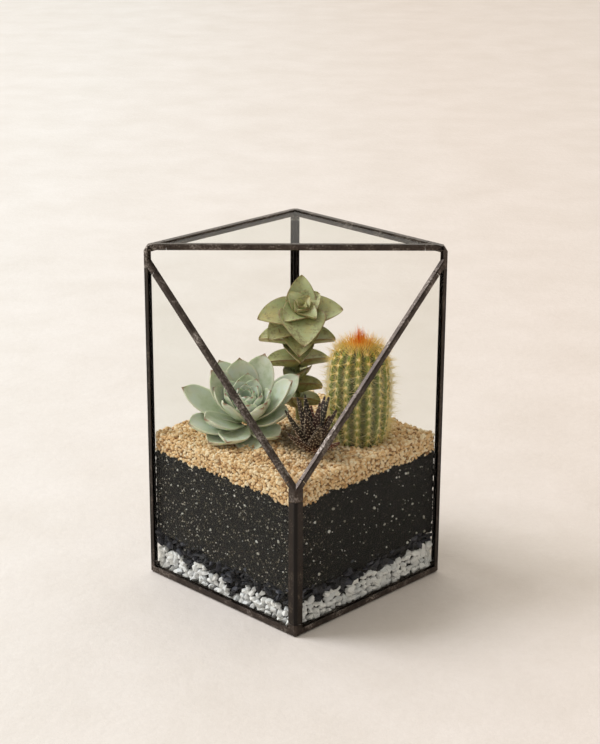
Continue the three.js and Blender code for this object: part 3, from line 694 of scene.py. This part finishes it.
def round_off(piece, levels):
    """Turns a closed mesh right side out and rounds it."""
    solo(piece)
    bpy.ops.object.mode_set(mode="EDIT")
    bpy.ops.mesh.select_all(action="SELECT")
    bpy.ops.mesh.normals_make_consistent(inside=False)
    bpy.ops.object.mode_set(mode="OBJECT")
    soften = piece.modifiers.new("soften", "SUBSURF")
    soften.levels = soften.render_levels = levels
    bpy.ops.object.modifier_apply(modifier=soften.name)
    bpy.ops.object.shade_smooth()


def measure(leaf, rings):
    """Marks each point of a leaf with its place along it, and across it from the midrib to the margin."""
    along = [v.co.x for v in leaf.data.vertices]
    half = np.interp(along, [r[0] for r in rings], [r[1] / 2 for r in rings])
    across = [min(1, abs(v.co.y) / max(h, 0.004)) for v, h in zip(leaf.data.vertices, half)]
    for name, values in (("along", along), ("across", across)):
        leaf.data.attributes.new(name, "FLOAT", "POINT").data.foreach_set("value", values)


def grow(model, size, curl, rise, turn, out, height, tone):
    """A copy of a leaf at its size, curled, raised from the stem, turned round it, and set at its height."""
    leaf = model.copy()
    leaf.data = model.data.copy()
    bpy.context.scene.collection.objects.link(leaf)
    points = np.empty(len(leaf.data.vertices) * 3)
    leaf.data.vertices.foreach_get("co", points)
    x, y, z = (points.reshape(-1, 3) * size).T
    bend = math.radians(curl) or 1e-6
    reach = size[0] / bend
    angle = x / reach
    points = np.stack([(reach - z) * np.sin(angle), y, reach - (reach - z) * np.cos(angle)], 1)
    leaf.data.vertices.foreach_set("co", points.ravel())
    spin = Matrix.Rotation(math.radians(turn), 4, "Z")
    raised = Matrix.Translation((out, 0, height)) @ Matrix.Rotation(-math.radians(rise), 4, "Y")
    leaf.data.transform(spin @ raised)
    leaf.data.attributes.new("tone", "FLOAT", "POINT").data.foreach_set("value", [tone] * len(points))
    return leaf


def stand(name, leaves, place, base, lean, slot_name, node, material):
    """Joins a plant's leaves, leans it towards the front and stands it in its place."""
    plant = join_all(name, leaves)
    plant.data.transform(Matrix.Translation((*place, base)) @ Matrix.Rotation(math.radians(lean), 4, "X"))
    dress(plant, material)
    settle(plant, slot_name, node)


def spoon(share):
    """Narrow foot, broad shoulders, short point."""
    shoulder = max(0, share - 0.58) / 0.42
    return (0.42 + 0.58 * smooth_step(share / 0.55)) * max(0.0, 1 - shoulder ** 2.4) ** 0.56


def mix(first, second, share):
    """The first value at 0, the second at 1."""
    return first + (second - first) * share


steps = (0, 0.1, 0.22, 0.35, 0.48, 0.6, 0.71, 0.81, 0.89, 0.95, 0.985)
outline = [(t, spoon(t), (1 - 0.35 * t) * min(1, 0.4 + spoon(t))) for t in steps]
spoon_leaf = blade("spoon_leaf", [*outline, (1.02, 0.06, 0.14), (1.05, 0.02, 0.06)], 12, 0.55, 0.3)
draw = random.Random(71)
outer = [  # turn, length and rise of the full-grown leaves
    (228, 0.0280, 13), (280, 0.0250, 7), (320, 0.0240, 14), (203, 0.0335, 20), (250, 0.0265, 19),
    (212, 0.0280, 32), (345, 0.0275, 31), (165, 0.0385, 27), (30, 0.0385, 31), (8, 0.0360, 47),
    (120, 0.0360, 40), (148, 0.0335, 53), (66, 0.0375, 48), (98, 0.0335, 50), (318, 0.0255, 56),
]
leaves = []
for i in range(ROSETTE_LEAVES):
    age = i / (ROSETTE_LEAVES - 1)
    if i < len(outer):
        turn, length, rise = outer[i]
        width = mix(0.0185, 0.0215, smooth_step((length - 0.026) / 0.01))
    else:
        turn, length, rise = 250 + 138.5 * i, mix(0.0345, 0.0125, age), mix(26, 84, age)
        width = mix(0.0230, 0.0080, age)
    size = (length, width * draw.uniform(0.95, 1.05), mix(0.0064, 0.0036, age))
    tilt = rise - ROSETTE_CURL / 2
    leaves.append(grow(spoon_leaf, size, ROSETTE_CURL, tilt, turn, 0.002, 0.012 * age, age))
scrap(spoon_leaf)

wax, tree, shader, place = finish_of("waxy_blue_leaf", 0.5)
along = mark(tree, "along")
across = mark(tree, "across")
age = mark(tree, "tone")
green = ramp(tree, along, [
    (0.0, tint(150, 160, 110)), (0.4, tint(184, 194, 162)), (0.75, tint(201, 210, 188)),
    (1.0, tint(212, 216, 190)),
])
green = blend(tree, span(tree, age, 0.35, 1.0, 0.0, 0.35), green, tint(150, 182, 166))
bloom = patches(tree, place, 150.0)
green = blend(tree, span(tree, bloom, 0.45, 1.0, 0.0, 0.6), green, tint(206, 218, 214))
green = blend(tree, span(tree, bloom, 0.0, 0.45, 0.6, 0.0), green, tint(154, 172, 126))
green = blend(tree, span(tree, across, 0.76, 0.98, 0.0, 0.8), green, tint(232, 230, 206))
tip = reckon(tree, "ADD", along, span(tree, across, 0, 1, 0.0, 0.02))
green = blend(tree, span(tree, tip, 0.985, 1.03, 0.0, 0.9), green, tint(150, 104, 82))
paint(tree, shader, green)
tree.links.new(span(tree, bloom, 0, 1, 0.42, 0.62), shader.inputs["Roughness"])
emboss(tree, shader, patches(tree, place, 700.0), 0.12, 0.0003)
soak(shader, 0.25, (0.6, 1.0, 0.5), 0.0015)
stand("rosette_leaves", leaves, ROSETTE_AT, GRAVEL_LEVEL + 0.0048, ROSETTE_LEAN,
      "rosette_leaf", "plant_rosette", wax)


# ---- Stacked succulent ---------------
# A tower crassula: pairs of thick pointed leaves clasp one stem, each pair across the last, closing to a
# square bud on top. Grey-green, flushed yellow in the sun, with a fine brown margin.

STACK_AT = (0.002, 0.021)
STANDING = (0.94, 0)  # the leaf that stands up behind the bud


def spade(share):
    """Broad foot and a blunt point."""
    return min(1, 0.72 + 1.2 * share) * max(0.0, 1 - share ** 2.0) ** 0.8


steps = (0, 0.08, 0.18, 0.3, 0.43, 0.56, 0.68, 0.79, 0.88, 0.95, 0.985)
outline = [(t, spade(t), (1 - 0.5 * t) * min(1, 0.5 + spade(t))) for t in steps]
spade_leaf = blade("spade_leaf", [*outline, (1.015, 0.03, 0.08)], 12, 0.7, 0.3)
stem = [Vector((0, 0, 0)), Vector((-0.002, 0.005, 0.051)), Vector((0.0012, -0.0075, 0.0695))]


def on_stem(share):
    """Place and direction on the stem's curve."""
    rest = 1 - share
    spot = rest * rest * stem[0] + 2 * rest * share * stem[1] + share * share * stem[2]
    return spot, (2 * rest * (stem[1] - stem[0]) + 2 * share * (stem[2] - stem[1])).normalized()


pairs = [  # place on the stem, turn, length, rise
    (0.1, -28, 0.0150, 20), (0.2, -8, 0.0155, 18), (0.29, 62, 0.0135, 18), (0.385, 14, 0.0190, 16),
    (0.5, 96, 0.0180, 12), (0.595, 2, 0.0230, 14), (0.72, 92, 0.0240, 6), (0.8, 40, 0.0230, 8),
    (0.88, 16, 0.0250, 18), (0.94, 96, 0.0270, 14), (0.96, 52, 0.0160, 28), (0.975, 134, 0.0125, 38),
    (0.99, 60, 0.0095, 52), (1.0, 140, 0.0065, 66),
]
draw = random.Random(83)
leaves = []
for at, turn, length, rise in pairs:
    spot, way = on_stem(at)
    upright = Vector((0, 0, 1)).rotation_difference(way).to_matrix().to_4x4()
    thick = mix(0.0084, 0.0056, smooth_step((at - 0.6) / 0.3))
    for side in (0, 180):
        size = (length * draw.uniform(0.95, 1.05), length * 1.16, thick)
        rise_here = rise + draw.uniform(-4, 4)
        if (at, side) == STANDING:
            leaf = grow(spade_leaf, (0.0225, 0.0205, thick), 6, 22, 93, 0, 0, at)
        else:
            leaf = grow(spade_leaf, size, -34, rise_here, turn + side, 0, 0, at)
        leaf.data.transform(Matrix.Translation(spot) @ upright)
        leaves.append(leaf)
scrap(spade_leaf)
stalk = fresh("stalk", bpy.ops.curve.primitive_bezier_curve_add)
first, second = stalk.data.splines[0].bezier_points
for point in (first, second):
    point.handle_left_type = point.handle_right_type = "FREE"
first.co, second.co = stem[0] - Vector((0, 0, 0.001)), stem[2]
first.handle_right, second.handle_left = mix(stem[0], stem[1], 0.66), mix(stem[2], stem[1], 0.66)
stalk.data.bevel_depth = 0.0015
stalk.data.bevel_resolution = 3
stalk.data.use_fill_caps = True
solo(stalk)
bpy.ops.object.convert(target="MESH")
for name, value in (("along", 0.0), ("across", 0.3), ("tone", 0.0)):
    layer = stalk.data.attributes.new(name, "FLOAT", "POINT")
    layer.data.foreach_set("value", [value] * len(stalk.data.vertices))

jade, tree, shader, place = finish_of("grey_green_leaf", 0.48)
along = mark(tree, "along")
across = mark(tree, "across")
green = ramp(tree, along, [
    (0.0, tint(118, 124, 78)), (0.45, tint(162, 170, 118)), (0.8, tint(178, 182, 132)),
    (1.0, tint(184, 178, 126)),
])
flush = patches(tree, place, 75.0)
green = blend(tree, span(tree, flush, 0.4, 1.0, 0.0, 0.7), green, tint(188, 170, 104))
dots = patches(tree, place, 620.0)
green = blend(tree, span(tree, dots, 0.45, 1.0, 0.0, 0.5), green, tint(178, 190, 154))
rusty = patches(tree, place, 240.0)
specks = reckon(tree, "MULTIPLY", rusty, dots)
green = blend(tree, span(tree, specks, 0.25, 0.5, 0.0, 0.6), green, tint(118, 96, 60))
edge = span(tree, across, 0.84, 0.98, 0.0, 0.95)
green = blend(tree, edge, green, tint(132, 92, 58))
green = blend(tree, span(tree, along, 0.93, 1.0, 0.0, 0.8), green, tint(124, 78, 52))
paint(tree, shader, green)
emboss(tree, shader, dots, 0.15, 0.0003)
soak(shader, 0.2, (0.6, 1.0, 0.4), 0.0015)
stand("stack_leaves", [*leaves, stalk], STACK_AT, GRAVEL_LEVEL, 0, "stacked_leaf", "plant_stack", jade)


# ---- Ball cactus ---------------------
# A young golden ball cactus, taller than wide. Woolly areoles sit along the crest of each rib, each with a
# star of yellow spines, and the crown is thick with new orange bristles, deep orange-red in the middle.

RIBS = 16
RIB_TURN = -5.4  # degrees from a rib that faces the front
RIB_DEPTHS = (1.0, 0.955, 0.865, 0.955)  # share of the crest's radius, from one crest to the next
TOP_AREOLE = 0.0545  # height over the gravel where the crown takes over
AREOLE_PITCH = 0.0045
STAR = 16  # spines that lie round an areole
CENTRAL = 3  # spines that stand up from it
CROWN = 420  # bristles on top
CROWN_REACH = 0.0128
GOLDEN_ANGLE = 137.5
profile = [  # height over the gravel, radius on the crests, in millimetres
    (-8, 11.5), (-3, 13.8), (0.8, 15), (5, 16.3), (13, 17.3), (24, 17.6),
    (36, 17.5), (46, 16.4), (52, 13.6), (55.5, 9), (57, 4),
]
body = fresh("cactus_body", bpy.ops.mesh.primitive_circle_add, vertices=4 * RIBS, radius=1,
             fill_type="NGON")
bpy.ops.object.mode_set(mode="EDIT")
bpy.ops.mesh.select_all(action="SELECT")
height, radius = profile[0]
bpy.ops.transform.resize(value=(radius / 1000, radius / 1000, 1), center_override=(0, 0, 0))
bpy.ops.transform.translate(value=(0, 0, height / 1000))
for next_height, next_radius in profile[1:]:
    bpy.ops.mesh.extrude_region_move(TRANSFORM_OT_translate={"value": (0, 0, (next_height - height) / 1000)})
    share = next_radius / radius
    bpy.ops.transform.resize(value=(share, share, 1), center_override=(0, 0, next_height / 1000))
    height, radius = next_height, next_radius
bpy.ops.mesh.extrude_region_move(TRANSFORM_OT_translate={"value": (0, 0, -0.0002)})
bpy.ops.mesh.merge(type="CENTER")
bpy.ops.object.mode_set(mode="OBJECT")
turned = math.radians(-90 + RIB_TURN)
for vertex in body.data.vertices:
    step = round((math.atan2(vertex.co.y, vertex.co.x)) / (math.tau / (4 * RIBS))) % 4
    vertex.co.x *= RIB_DEPTHS[step]
    vertex.co.y *= RIB_DEPTHS[step]
body.data.transform(Matrix.Rotation(turned, 4, "Z"))
round_off(body, 2)
# 1 on the rib crests and 0 in the furrows, for a painted highlight on the crests and painted shade in the
# furrows
lit_crest_share = [
    0.5 + 0.5 * math.cos((math.atan2(v.co.y, v.co.x) - turned) * RIBS) for v in body.data.vertices
]
body.data.attributes.new("tone", "FLOAT", "POINT").data.foreach_set("value", lit_crest_share)


def crest_radius(height):
    """Radius on the ribs at a height in metres."""
    return float(np.interp(height * 1000, [h for h, _ in profile], [r for _, r in profile])) / 1000


def needle(length, thick, at, way):
    """Where a spine goes: its root, its direction, its length and its thickness."""
    turn = Vector((0, 0, 1)).rotation_difference(way).to_matrix().to_4x4()
    return Matrix.Translation(at) @ turn @ Matrix.Diagonal((thick, thick, length, 1))


spine = fresh("spine", bpy.ops.mesh.primitive_cone_add, vertices=3, radius1=0.5, radius2=0, depth=1,
              location=(0, 0, 0.5))
bpy.ops.object.transform_apply(location=True, rotation=True, scale=True)
tuft = rough_stone("wool", 200, 0.1)
draw = random.Random(97)
spines, wools = [], []
for rib in range(RIBS):
    turn = turned + rib * math.tau / RIBS
    out = Vector((math.cos(turn), math.sin(turn), 0))
    side = Vector((-math.sin(turn), math.cos(turn), 0))
    height = 0.0015 + (rib % 2) * 0.0022
    while height < TOP_AREOLE:
        slope = (crest_radius(height + 0.001) - crest_radius(height - 0.001)) / 0.002
        face = (out - slope * Vector((0, 0, 1))).normalized()
        up = face.cross(side).normalized() * -1
        root = out * (crest_radius(height) * 0.985) + Vector((0, 0, height))
        young = smooth_step((height - 0.040) / 0.012)
        laid = needle(draw.uniform(0.0012, 0.0016), 0.0014 + 0.0008 * young, root, face)
        wools.append((laid, draw.uniform(0.7, 1.0) - 0.1 * young))
        for k in range(STAR):
            angle = math.tau * (k + draw.uniform(-0.3, 0.3)) / STAR
            spread = draw.uniform(0.8, 1.25)
            ray = side * math.cos(angle) + up * math.sin(angle)
            way = face * draw.uniform(0.2, 0.6) + ray * spread
            laid = needle(draw.uniform(0.0048, 0.0086), 0.00025, root, way.normalized())
            spines.append((laid, 0.4 * draw.random() ** 2 + 0.2 * young))
        for k in range(CENTRAL):
            way = face + side * draw.uniform(-0.5, 0.5) + up * draw.uniform(-0.3, 0.5)
            laid = needle(draw.uniform(0.0056, 0.0086), 0.0003, root, way.normalized())
            spines.append((laid, 0.1 + 0.2 * draw.random() + 0.2 * young))
        height += AREOLE_PITCH
for k in range(CROWN):
    angle = math.radians(GOLDEN_ANGLE * k)
    radius = CROWN_REACH * ((k + 0.5) / CROWN) ** 0.66
    spot = Vector((math.cos(angle) * radius, math.sin(angle) * radius, 0))
    level = float(np.interp(radius, [0.004, 0.009, 0.0136], [0.057, 0.0555, 0.052]))
    fan = mix(-40, 96, smooth_step((radius - 0.0008) / 0.0075))
    stray = Vector((draw.uniform(-0.3, 0.3), draw.uniform(-0.3, 0.3), 0))
    way = Vector((spot.x * fan, spot.y * fan, 1)) + stray
    heart = 1 - smooth_step((radius - 0.0010) / 0.0034)
    length = draw.uniform(0.0044, 0.0084) + 0.0034 * heart ** 2
    spot.z = level - 0.0008
    laid = needle(length, mix(0.0003, 0.00045, heart), spot, way.normalized())
    golden = mix(0.7, 0.36, smooth_step((radius - 0.0035) / 0.0065))
    spines.append((laid, mix(golden, 0.86, heart) + draw.uniform(-0.2, 0.12)))
needles = strew("cactus_spines", [spine], spines)
wool = strew("cactus_wool", [tuft], wools)
scrap(spine, tuft)

ribbed, tree, shader, place = finish_of("cactus_skin", 0.55)
crest = mark(tree, "tone")
# painted highlight on the rib crests, painted shade down in the furrows
green = ramp(tree, crest, [(0.0, tint(24, 42, 10)), (0.5, tint(68, 100, 28)), (1.0, tint(130, 154, 58))])
green = blend(tree, span(tree, patches(tree, place, 300.0), 0, 1, 0.35, 0.0), green, tint(52, 66, 26))
level = axis(tree, place, "Z")
in_crown = span(tree, level, GRAVEL_LEVEL + 0.0530, GRAVEL_LEVEL + 0.0565, 0.0, 0.9)
green = blend(tree, in_crown, green, tint(200, 150, 60))
paint(tree, shader, green)
emboss(tree, shader, patches(tree, place, 1500.0), 0.3, 0.0003)
gold, tree, shader, place = finish_of("golden_spines", 0.45)
tone = mark(tree, "tone")
yellow = ramp(tree, tone, [
    (0.0, tint(250, 240, 190)), (0.3, tint(248, 220, 130)), (0.6, tint(248, 188, 62)),
    (0.85, tint(238, 118, 28)), (1.0, tint(206, 84, 22)),
])
paint(tree, shader, yellow)
fluff, tree, shader, place = finish_of("areole_wool", 0.95)
tone = mark(tree, "tone")
cream = ramp(tree, tone, [(0.0, tint(212, 178, 96)), (1.0, tint(250, 246, 204))])
paint(tree, shader, cream)
dress(body, ribbed)
dress(needles, gold)
dress(wool, fluff)
cactus = join_all("cactus", [body, needles, wool])
cactus.data.transform(Matrix.Translation((*CACTUS_AT, GRAVEL_LEVEL)))
settle(cactus, "cactus_skin", "plant_cactus")


# ---- Zebra succulent -----------------
# A haworthia: stiff tapering leaves, dark purple-brown from strong light, with rows of hard white bumps that
# run into bands on the backs.

ZEBRA_AT = (0.0093, -0.036)
ZEBRA_LEAVES = 16
BUMP_ROWS = 15
ZEBRA_LEAN = 4
BESIDE = ((CACTUS_AT, 0.027), (ROSETTE_AT, 0.042))  # what the leaves keep off, and how far
GLASS_REACH = (0.06 - 0.005) * math.sqrt(2)  # |x| + |y| where a leaf comes near the glass


def rise_to_clear(place, turn, length, neighbour, keep_off):
    """How steeply a leaf rises to stop short of the glass and of a neighbour that is kept off this far."""
    dx, dy = math.cos(math.radians(turn)), math.sin(math.radians(turn))
    reach = 0
    while reach < length:
        reach += 0.0005
        x, y = place[0] + dx * reach, place[1] + dy * reach
        near = math.hypot(x - neighbour[0], y - neighbour[1]) < keep_off
        if near or abs(x) + abs(y) > GLASS_REACH:
            break
    return math.degrees(math.acos(min(1, reach / length)))


def dagger(share):
    """Broad foot, long point."""
    return (0.85 + 0.15 * smooth_step(share / 0.2)) * (1 - smooth_step((share - 0.1) / 1.05)) ** 0.75


steps = (0, 0.1, 0.22, 0.36, 0.5, 0.64, 0.77, 0.88, 0.95, 0.985)
outline = [(t, dagger(t), (1 - 0.5 * t) * min(1, 0.45 + dagger(t))) for t in steps]
dagger_leaf = blade("dagger_leaf", [*outline, (1.01, 0.03, 0.06)], 8, 0.25, 0.55)
bump = rough_stone("bump", 260, 0.05)
stretch = Vector((0.026, 0.0062, 0.0044))  # about what a leaf is scaled by, so that bumps stay round
spots = []
for band in range(BUMP_ROWS):
    share = 0.1 + band * 0.059
    around = 8 if share < 0.6 else 5
    for k in range(around):
        angle = math.tau * (k + 0.5 * (band % 2)) / around
        across = 0.5 * dagger(share) * math.cos(angle)
        aim = Vector((share, across, 0.4 * (1 - 0.5 * share) * math.sin(angle)))
        near = min(dagger_leaf.data.vertices, key=lambda v: (v.co - aim).length_squared)
        wide = mix(0.0008, 0.0005, share)
        size = [wide / stretch.x, wide / stretch.y, wide * 0.8 / stretch.z]
        spots.append((Matrix.Translation(near.co) @ Matrix.Diagonal((*size, 1)), 1.0))
bumps = strew("bumps", [bump], spots, smooth=True)
bumps.data.attributes["tone"].name = "dot"
dagger_leaf.data.attributes.new("dot", "FLOAT", "POINT")
dagger_leaf = join_all("dagger_leaf", [dagger_leaf, bumps])
scrap(bump)
leaves = []
for i in range(ZEBRA_LEAVES):
    age = i / (ZEBRA_LEAVES - 1)
    turn = 40 + GOLDEN_ANGLE * i
    length = mix(0.0205, 0.028, smooth_step(age / 0.45))
    tone = 0.95 if i < 4 else (i * 0.37) % 0.8
    clear = max(rise_to_clear(ZEBRA_AT, turn, length, *neighbour) for neighbour in BESIDE)
    rise = max(mix(8, 80, age ** 0.7), clear)
    size = (length, mix(0.0098, 0.0074, age), 0.0058)
    leaves.append(grow(dagger_leaf, size, mix(10, -4, age), rise, turn, 0.0015, 0.004 * age, tone))
scrap(dagger_leaf)

plum, tree, shader, place = finish_of("zebra_leaf", 0.5)
along = mark(tree, "along")
dot = mark(tree, "dot")
tone = mark(tree, "tone")
dark = ramp(tree, tone, [
    (0.0, tint(40, 36, 22)), (0.5, tint(46, 28, 22)), (0.85, tint(64, 34, 24)), (1.0, tint(110, 56, 34)),
])
dark = blend(tree, span(tree, along, 0.0, 0.5, 0.5, 0.0), dark, tint(92, 56, 36))
dark = blend(tree, span(tree, patches(tree, place, 400.0), 0, 1, 0.4, 0.0), dark, tint(26, 18, 16))
dark = blend(tree, span(tree, dot, 0.4, 0.6, 0.0, 1.0), dark, tint(216, 196, 168))
paint(tree, shader, dark)
emboss(tree, shader, patches(tree, place, 1400.0), 0.2, 0.0002)
stand("zebra_leaves", leaves, ZEBRA_AT, GRAVEL_LEVEL + 0.0034, ZEBRA_LEAN,
      "zebra_leaf", "plant_zebra", plum)


# ---- Table, light and camera ---------
# A warm off-white plaster table top that runs out of view, painted darker and warmer towards the right as
# shade away from the light, one broad soft light from the upper left with a bright room around it, and a
# portrait lens a metre away.

FRAME_HEIGHT = 744  # pixels
FOCAL_LENGTH = 1832.37  # pixels
AIM_POINT = Vector((0.00264, 0, 0.12402))
AIM_DISTANCE = 1.03716
AZIMUTH = math.radians(0.516)
ELEVATION = math.radians(19.189)
ROLL = math.radians(0.275)
table = fresh("table_top", bpy.ops.mesh.primitive_circle_add, vertices=96, radius=6, fill_type="NGON")
plaster, tree, shader, place = finish_of("plaster", 0.85)
cloudy = patches(tree, place, 14.0)
wash = ramp(tree, cloudy, [(0.0, tint(224, 220, 215)), (1.0, tint(233, 230, 227))])
wash = blend(tree, span(tree, patches(tree, place, 260.0), 0, 1, 0.16, 0.0), wash, tint(208, 202, 195))
wash = blend(tree, span(tree, patches(tree, place, 1100.0), 0, 1, 0.14, 0.0), wash, tint(200, 192, 183))
# painted shade: darker and warmer towards the right, away from the light on the left
painted_falloff_right = span(tree, axis(tree, place, "X"), -0.28, 0.22, 0.0, 1.0)
wash = blend(tree, painted_falloff_right, wash, (0.955, 0.885, 0.845, 1), "MULTIPLY")
paint(tree, shader, wash)
emboss(tree, shader, patches(tree, place, 120.0), 0.12, 0.002)
dress(table, plaster)

room = bpy.data.worlds.new("bright_room")
bpy.context.scene.world = room
room.use_nodes = True
tree = room.node_tree
way = put(tree, "ShaderNodeTexCoord").outputs["Generated"]
depth = span(tree, axis(tree, way, "Y"), -1.0, 0.6, 0.0, 1.0)
air = ramp(tree, depth, [(0.0, (0.40, 0.376, 0.335, 1)), (1.0, (1.0, 0.95, 0.855, 1))])
tree.links.new(air, tree.nodes["Background"].inputs["Color"])
bright = span(tree, axis(tree, way, "X"), -1.0, 1.0, 1.42, 0.62)
tree.links.new(bright, tree.nodes["Background"].inputs["Strength"])
bpy.ops.object.light_add(type="AREA")
window = bpy.context.active_object
window.data.shape = "DISK"
window.data.size = 2.6
window.data.energy = 198
window.data.color = (0.915, 0.945, 1.0)
window.location = (-3.6, 0.5, 4.1)
window.rotation_mode = "QUATERNION"
window.rotation_quaternion = Vector(window.location).to_track_quat("Z", "Y")

bpy.ops.object.camera_add()
camera = bpy.context.active_object
camera.data.sensor_width = 36
camera.data.lens = camera.data.sensor_width * FOCAL_LENGTH / FRAME_HEIGHT
flat = math.cos(ELEVATION)
aim = Vector((math.sin(AZIMUTH) * flat, math.cos(AZIMUTH) * flat, -math.sin(ELEVATION)))
camera.rotation_mode = "QUATERNION"
camera.rotation_quaternion = aim.to_track_quat("-Z", "Y") @ Matrix.Rotation(ROLL, 4, "Z").to_quaternion()
camera.location = AIM_POINT - aim * AIM_DISTANCE
bpy.context.scene.camera = camera
bpy.context.scene.view_settings.view_transform = "Standard"
